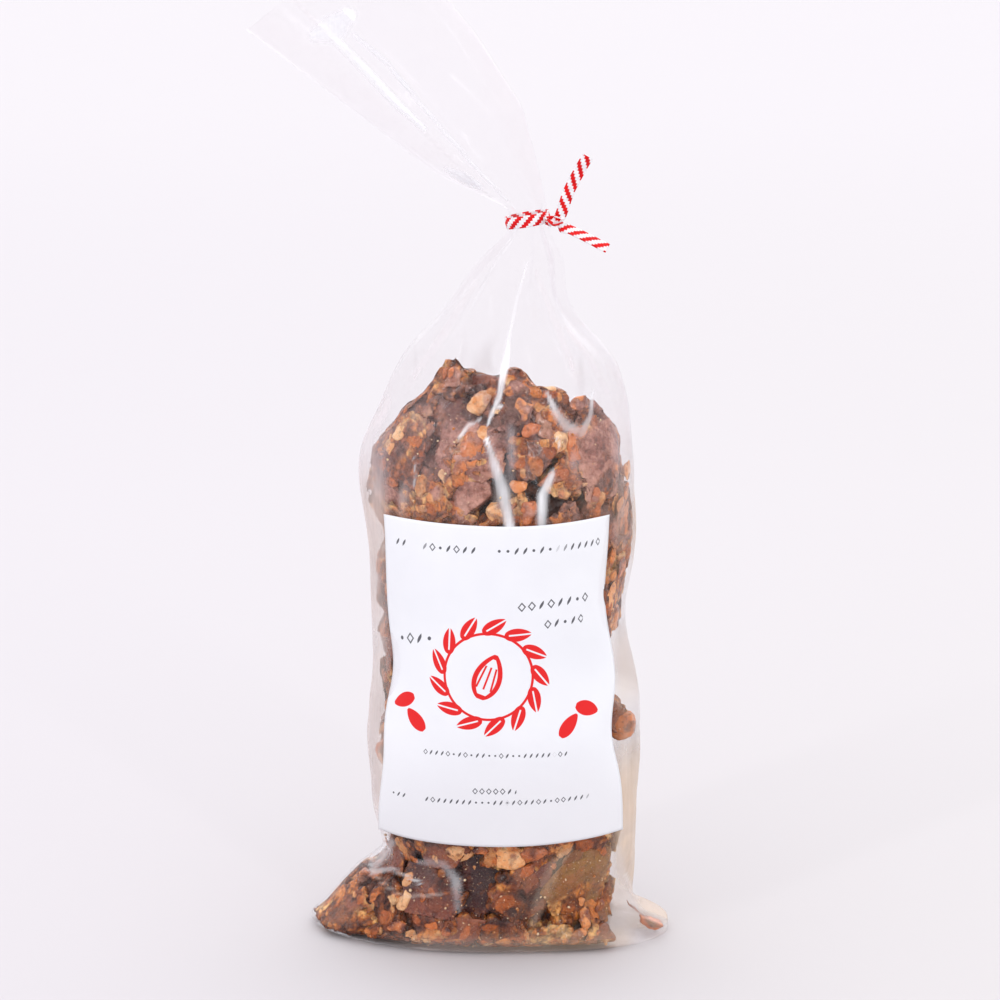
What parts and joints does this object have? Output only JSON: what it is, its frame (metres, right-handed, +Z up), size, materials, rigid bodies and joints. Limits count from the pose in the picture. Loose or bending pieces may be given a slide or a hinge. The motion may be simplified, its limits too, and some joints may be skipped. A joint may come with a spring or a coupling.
{
  "type": "bag of almond brittle",
  "caption": "Clear film bag filled with broken almond brittle, standing upright, gathered at the neck by a striped twist tie, with a paper label on its front.",
  "frame": {"origin": "on the ground, at the middle of the flat the bag stands on", "axes": "+Z up along the bag, from its bottom seam to its mouth; -Y towards the front, which carries the label; +X to the label's right as it is read"},
  "size_m": [0.1426, 0.0729, 0.3458],
  "materials": {
    "brittle": "satin",
    "film": "polished",
    "label_paper": "satin",
    "tie_paper": "matte"
  },
  "bodies": {
    "root": {"bag": "brittle", "label": "label_paper", "twist_tie": "tie_paper"}
  },
  "joints": []
}
